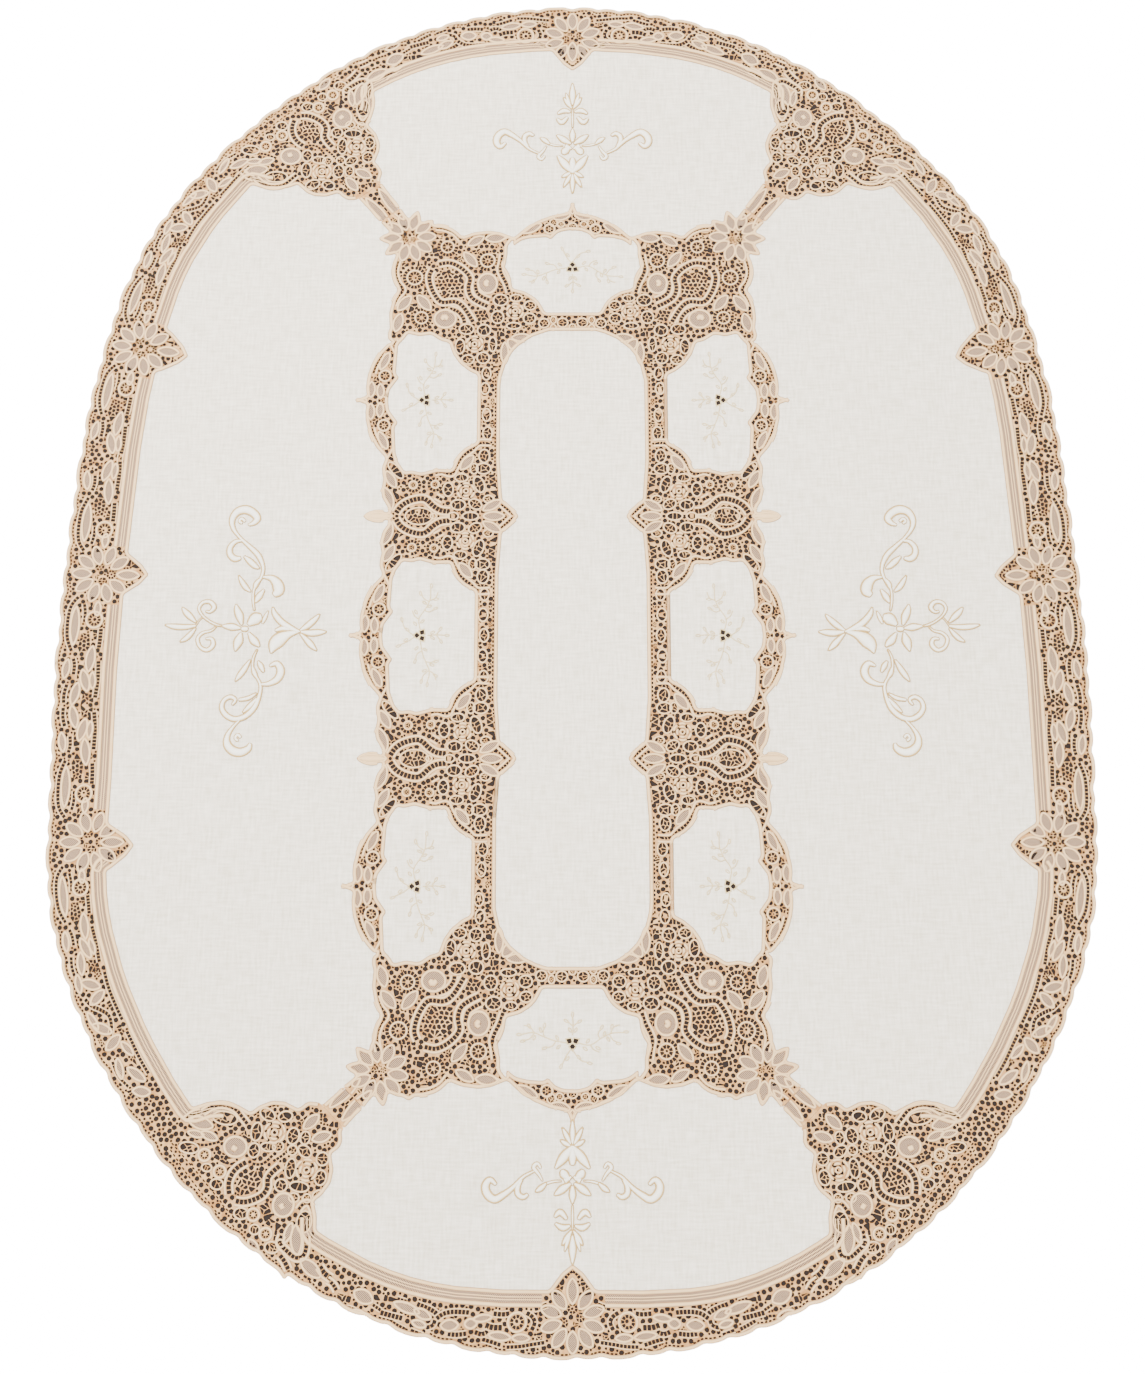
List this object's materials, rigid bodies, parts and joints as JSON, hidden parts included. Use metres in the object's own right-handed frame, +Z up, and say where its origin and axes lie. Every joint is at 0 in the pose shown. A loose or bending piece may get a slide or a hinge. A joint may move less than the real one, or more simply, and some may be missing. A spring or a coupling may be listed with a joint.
{
  "type": "lace tablecloth",
  "caption": "Oval tablecloth of linen panels set in tape lace, laid out flat, with a scalloped lace border.",
  "frame": {"origin": "middle of the cloth's box, on its underside", "axes": "+Y along the cloth's length, +X across it, +Z up out of its face side"},
  "size_m": [1.7014, 2.2962, 0.0018],
  "materials": {
    "tape_lace": "woven cotton tape, matte, cream",
    "linen": "plain-woven linen, matte, off-white"
  },
  "bodies": {
    "root": {"lace_border": "tape_lace", "lace_lattice": "tape_lace", "lace_bar_1": "tape_lace", "lace_bar_2": "tape_lace", "lace_bar_3": "tape_lace", "lace_bar_4": "tape_lace", "linen_centre": "linen", "linen_field_left": "linen", "linen_field_right": "linen", "linen_field_far": "linen", "linen_field_near": "linen", "linen_inset_1": "linen", "linen_inset_2": "linen", "linen_inset_3": "linen", "linen_inset_4": "linen", "linen_inset_5": "linen", "linen_inset_6": "linen", "linen_inset_7": "linen", "linen_inset_8": "linen"}
  },
  "joints": []
}
